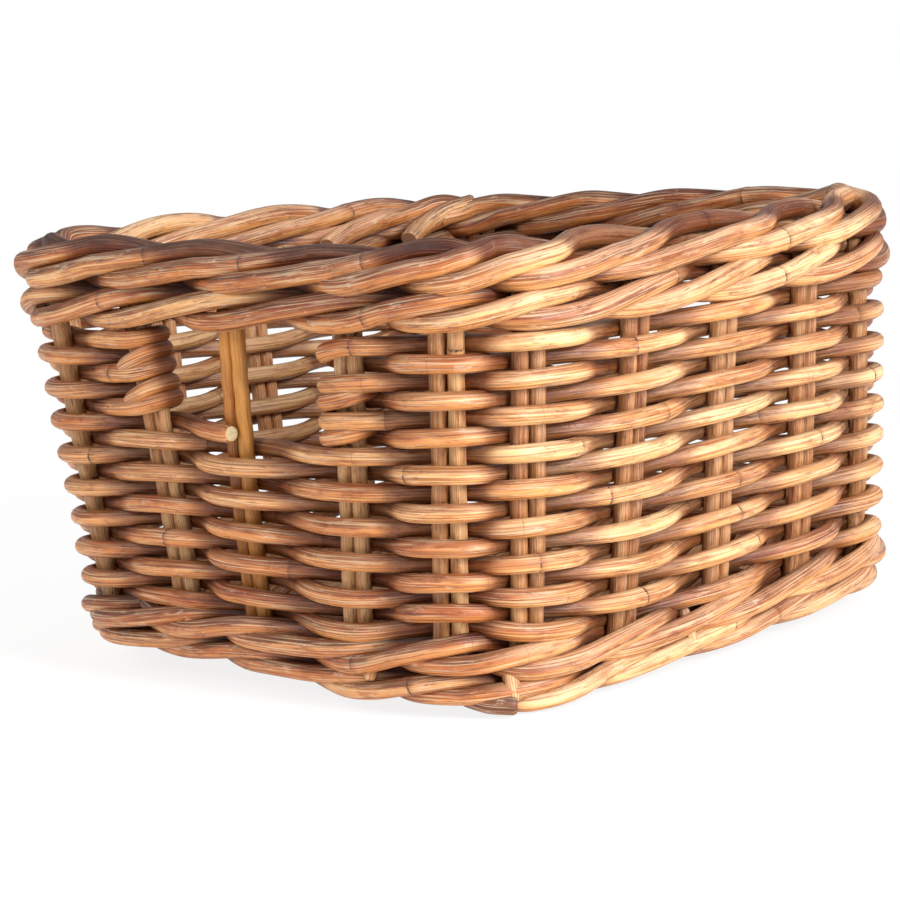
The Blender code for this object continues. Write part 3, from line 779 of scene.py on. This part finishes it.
def cane_material(name, dark, middle, light, weathering_and_shade, underside_light, strengths):
    """Whole rattan cane, steamed and woven with most of its skin scraped off.

    The eye sees fine grooves along each rod, honey and reddish tones, short dark cracks,
    freckles and stains, silvery scraps of skin and dark rings at the nodes. The upper side is a
    dull purplish brown, partly weathering and partly painted shade, and the lower side is gold,
    which is painted light from the white table below. The walls that face along Y carry painted
    shade, the tops on the other side painted light, and the rods are darker deep in the weave
    as painted shade. The sheen is soft.
    """
    material, tree = new_material(name)
    place = add_node(tree, "ShaderNodeAttribute", attribute_name="rod_place").outputs["Vector"]
    marks = add_node(tree, "ShaderNodeAttribute", attribute_name="rod_marks").outputs["Vector"]
    tone, past_node, weave_shade = add_node(tree, "ShaderNodeSeparateXYZ", [(0, marks)]).outputs
    normal = add_node(tree, "ShaderNodeNewGeometry").outputs["Normal"]
    upward = add_node(tree, "ShaderNodeSeparateXYZ", [(0, normal)]).outputs[2]

    read = {"wall": wall_place(tree)}
    for pattern, (across, along, detail, rough) in CANE_PATTERNS.items():
        scale = (1 / across, 1 / across, 1 / along)
        settings = [(0, place), (1, scale)]
        scaled = add_node(tree, "ShaderNodeVectorMath", settings, operation="MULTIPLY").outputs[0]
        settings = [("Vector", scaled), ("Scale", 1.0), ("Detail", detail), ("Roughness", rough)]
        read[pattern] = add_node(tree, "ShaderNodeTexNoise", settings).outputs[0]
    # Patches and freckles make the edges of what follows ragged
    settings = [(0, read["patches"]), (1, 1.6), (2, upward)]
    read["upward"] = add_node(tree, "ShaderNodeMath", settings, operation="MULTIPLY_ADD").outputs[0]
    settings = [(0, read["freckles"]), (1, 1.6), (2, past_node)]
    past_node = add_node(tree, "ShaderNodeMath", settings, operation="MULTIPLY_ADD").outputs[0]
    read["past_node"] = past_node
    settings = [(0, past_node), (1, 0.8)]
    apart = add_node(tree, "ShaderNodeMath", settings, operation="SUBTRACT").outputs[0]
    apart = add_node(tree, "ShaderNodeMath", [(0, apart)], operation="ABSOLUTE").outputs[0]
    read["from_ring"] = apart
    mask = {"weave_shade": weave_shade}
    for shown, (source, start, full) in CANE_MASKS.items():
        settings = [(0, read[source]), (1, start), (2, full)]
        mask[shown] = add_node(tree, "ShaderNodeMapRange", settings).outputs[0]

    # The rod's tone, moved a little by noise along it, picks its colour from dark to light
    settings = [(0, read["tone"]), (1, 1.1), (2, -0.45)]
    moved = add_node(tree, "ShaderNodeMath", settings, operation="MULTIPLY_ADD").outputs[0]
    settings = [(0, tone), (1, 0.85), (2, moved)]
    toned = add_node(tree, "ShaderNodeMath", settings, operation="MULTIPLY_ADD").outputs[0]
    ramp = add_node(tree, "ShaderNodeValToRGB", [(0, toned)])
    set_stops(ramp.color_ramp, [(0.1, dark), (0.45, middle), (0.85, light)])
    colour = ramp.outputs[0]
    own_colours = {"underside_light": underside_light, "weathering_and_shade": weathering_and_shade}
    for masks, layer, kind, code in CANE_LAYERS:
        factor = mask[masks[0]]
        for other in [mask[shown] for shown in masks[1:]] + [strengths[layer]]:
            settings = [(0, factor), (1, other)]
            factor = add_node(tree, "ShaderNodeMath", settings, operation="MULTIPLY").outputs[0]
        settings = [(0, factor), (6, colour), (7, linear(own_colours.get(code, code)))]
        mixed = add_node(tree, "ShaderNodeMix", settings, data_type="RGBA", blend_type=kind)
        colour = mixed.outputs[2]

    height = read["grooves"]
    for pattern, share in CANE_RELIEF:
        settings = [(0, mask[pattern]), (1, share), (2, height)]
        height = add_node(tree, "ShaderNodeMath", settings, operation="MULTIPLY_ADD").outputs[0]
    settings = [("Strength", 0.6), ("Distance", GROOVE_DEPTH), ("Height", height)]
    bump = add_node(tree, "ShaderNodeBump", settings).outputs[0]
    settings = [(0, read["patches"]), (1, 0.3), (2, 0.7), (3, 0.32), (4, 0.55)]
    rough = add_node(tree, "ShaderNodeMapRange", settings).outputs[0]
    settings = [("Base Color", colour), ("Roughness", rough), ("IOR", CANE_IOR), ("Normal", bump)]
    shader = add_node(tree, "ShaderNodeBsdfPrincipled", settings).outputs[0]
    add_node(tree, "ShaderNodeOutputMaterial", [(0, shader)])
    return material


def cut_end_material(name, pore, wood):
    """End grain of cut cane, with darker pores about 0.5 mm across, and dull.

    A fresh cut shows cream, and an old one dark brown, which also paints shade on ends that lie
    in shadow, as under the rim.
    """
    material, tree = new_material(name)
    place = add_node(tree, "ShaderNodeTexCoord").outputs["Object"]
    pores = add_node(tree, "ShaderNodeTexVoronoi", [("Vector", place), ("Scale", 1500.0)])
    ramp = add_node(tree, "ShaderNodeValToRGB", [(0, pores.outputs["Distance"])])
    set_stops(ramp.color_ramp, [(0.12, pore), (0.4, wood)])
    settings = [("Base Color", ramp.outputs[0]), ("Roughness", 0.8), ("IOR", CANE_IOR)]
    shader = add_node(tree, "ShaderNodeBsdfPrincipled", settings).outputs[0]
    add_node(tree, "ShaderNodeOutputMaterial", [(0, shader)])
    return material


def table_material():
    """Translucent white acrylic, matt, lit a little from below, as on a photographer's table.

    To the camera it fades to plain white far from the basket.
    """
    material, tree = new_material("white_acrylic_table")
    place = add_node(tree, "ShaderNodeTexCoord").outputs["Object"]
    settings = [(0, place)]
    distance = add_node(tree, "ShaderNodeVectorMath", settings, operation="LENGTH").outputs["Value"]
    settings = [(0, distance), (1, 0.2), (2, 1.0), (3, 0.8), (4, 1.0)]
    far = add_node(tree, "ShaderNodeMapRange", settings).outputs[0]
    seen = add_node(tree, "ShaderNodeLightPath").outputs["Is Camera Ray"]
    settings = [
        ("Base Color", linear("f8f8f7")),
        ("Roughness", 0.9),
        ("Emission Color", (1, 1, 1, 1)),
        ("Emission Strength", TABLE_GLOW),
    ]
    matt = add_node(tree, "ShaderNodeBsdfPrincipled", settings).outputs[0]
    white = add_node(tree, "ShaderNodeEmission", [("Strength", 1.0)]).outputs[0]
    settings = [(0, far), (1, seen)]
    share = add_node(tree, "ShaderNodeMath", settings, operation="MULTIPLY").outputs[0]
    settings = [(0, share), (1, matt), (2, white)]
    mixed = add_node(tree, "ShaderNodeMixShader", settings).outputs[0]
    add_node(tree, "ShaderNodeOutputMaterial", [(0, mixed)])
    return material


def make_floor():
    """The table: one flat sheet far larger than the basket."""
    mesh = bpy.data.meshes.new("studio_floor")
    reach = FLOOR_HALF_SIZE
    corners = [(-reach, -reach, 0), (reach, -reach, 0), (reach, reach, 0), (-reach, reach, 0)]
    mesh.from_pydata(corners, [], [(0, 1, 2, 3)])
    mesh.materials.append(table_material())
    floor = bpy.data.objects.new("studio_floor", mesh)
    bpy.context.scene.collection.objects.link(floor)


def add_lamp(name, place, size, power):
    """A square area lamp that faces the basket."""
    lamp = bpy.data.lights.new(name, "AREA")
    lamp.shape = "SQUARE"
    lamp.size = size
    lamp.energy = power
    lit = bpy.data.objects.new(name, lamp)
    bpy.context.scene.collection.objects.link(lit)
    lit.location = place
    direction = np.array(LAMP_AIM, float) - np.array(place, float)
    yaw = np.arctan2(direction[1], direction[0]) - np.pi / 2
    pitch = np.arctan2(direction[2], np.hypot(direction[0], direction[1])) + np.pi / 2
    lit.rotation_euler = (pitch, 0, yaw)


def make_light():
    """Surroundings a little dimmer overhead and white to the camera, and two soft lamps."""
    world = bpy.data.worlds.new("studio")
    world.use_nodes = True
    tree = world.node_tree
    tree.nodes.clear()
    direction = add_node(tree, "ShaderNodeTexCoord").outputs["Generated"]
    height = add_node(tree, "ShaderNodeSeparateXYZ", [(0, direction)]).outputs[2]
    settings = [(0, height), (1, 0.0), (2, 1.0), (3, HORIZON_LIGHT), (4, OVERHEAD_LIGHT)]
    dome = add_node(tree, "ShaderNodeMapRange", settings).outputs[0]
    rays = add_node(tree, "ShaderNodeLightPath").outputs
    settings = [(0, rays["Is Camera Ray"]), (1, rays["Is Transmission Ray"])]
    seen = add_node(tree, "ShaderNodeMath", settings, operation="MAXIMUM").outputs[0]
    settings = [(0, seen), (2, dome), (3, 1.0)]
    strength = add_node(tree, "ShaderNodeMix", settings, data_type="FLOAT").outputs[0]
    background = add_node(tree, "ShaderNodeBackground", [(0, (1, 1, 1, 1)), (1, strength)])
    add_node(tree, "ShaderNodeOutputWorld", [(0, background.outputs[0])])
    bpy.context.scene.world = world
    add_lamp("softbox_right", (1.75, -0.2, 0.85), 0.7, KEY_POWER)
    add_lamp("softbox_left", (-0.5, -1.6, 1.3), 0.8, FILL_POWER)


def make_camera():
    """Pinhole camera fitted to the photograph: its place, turn, lens and shift."""
    data = bpy.data.cameras.new("photo_camera")
    data.sensor_width = 36.0
    data.lens = 114.764
    data.shift_x = -0.02817
    data.shift_y = 0.07587
    data.clip_end = 50.0
    camera = bpy.data.objects.new("photo_camera", data)
    bpy.context.scene.collection.objects.link(camera)
    camera.location = (1.02365, -1.10834, 0.31544)
    camera.rotation_euler = np.radians([80.37635, 3.81298, 42.24941])
    bpy.context.scene.camera = camera


# How strongly each layer shows on the woven rods, and how the other rods differ from them
WOVEN = dict(
    underside_light=0.55,
    weathering_and_shade=0.5,
    shaded=0.5,
    aged=0.0,
    lit_tops=0.1,
    stains=0.5,
    grooves=0.6,
    threads=0.4,
    freckles=0.7,
    ribs=0.4,
    cracks=0.6,
    skin=0.28,
    weave_shade=0.7,
    band=0.6,
    ring=1.0,
)
UPRIGHT = dict(WOVEN, shaded=0.0, aged=1.0, lit_tops=0.0, underside_light=0.0, weathering_and_shade=0.0)
UPRIGHT.update(stains=0.6, grooves=0.4, threads=0.2, skin=0.2)
PEELED = dict(UPRIGHT, shaded=0.1, stains=0.3, grooves=0.15, threads=0.1, freckles=0.2)
PEELED.update(skin=0.0, ring=0.0)
BANDS = dict(WOVEN, weathering_and_shade=0.8, underside_light=0.5, lit_tops=0.25, skin=0.35, weave_shade=0.85)

# Each cane: its tones from dark to light, its colour of weathering with painted shade on the
# upper side and its golden colour of painted light on the underside, and how strongly its
# layers show
CANES = {
    "stake": ("9c5f35", "d1955b", "e5b67e", "8b6a50", "d9b070", UPRIGHT),
    "peeled": ("8c4d18", "b77028", "d39240", "8b6a50", "d9b070", PEELED),
    "weaver": ("9c5530", "d39056", "f6d09a", "7d4f40", "e2a556", WOVEN),
    "border": ("94522f", "cc8a56", "f0c892", "6f4a3d", "e2a556", BANDS),
    "dark": ("3c2216", "653c28", "8c5c3e", "4f362c", "9a6c44", BANDS),
}


def main():
    rng = np.random.default_rng(11)
    fresh_end = cut_end_material("rattan_cut_end", "8a6c48", "e0cb9c")
    # Dark old end grain, partly weathering and partly painted shade for ends in shadow
    old_shaded_end = cut_end_material("rattan_old_shaded_cut_end", "3c2416", "80573a")
    rattan = {name: cane_material(f"rattan_{name}_cane", *look) for name, look in CANES.items()}
    weaver, border = [rattan["weaver"], fresh_end], [rattan["border"], fresh_end]
    make_stakes(rng, [rattan["stake"], old_shaded_end], [rattan["peeled"], old_shaded_end])
    make_base(rng, [rattan["stake"], fresh_end], weaver)
    make_rows(rng, weaver)
    make_panels(rng, weaver)
    bands = [(FOOT_BAND, "foot_border"), (LOWER_BAND, "lower_wale"), (UPPER_BAND, "upper_wale")]
    for band, node in bands:
        make_wale(rng, band, border, [f"{node}_rod_{k + 1}" for k in range(3)])
    make_border(rng, border)
    make_cut_ends(rng, CUT_ENDS, [rattan["border"], old_shaded_end])
    make_cut_ends(rng, FOOT_ENDS, [rattan["dark"], old_shaded_end])
    make_floor()
    make_light()
    make_camera()
    bpy.context.scene.view_settings.view_transform = "Standard"


main()
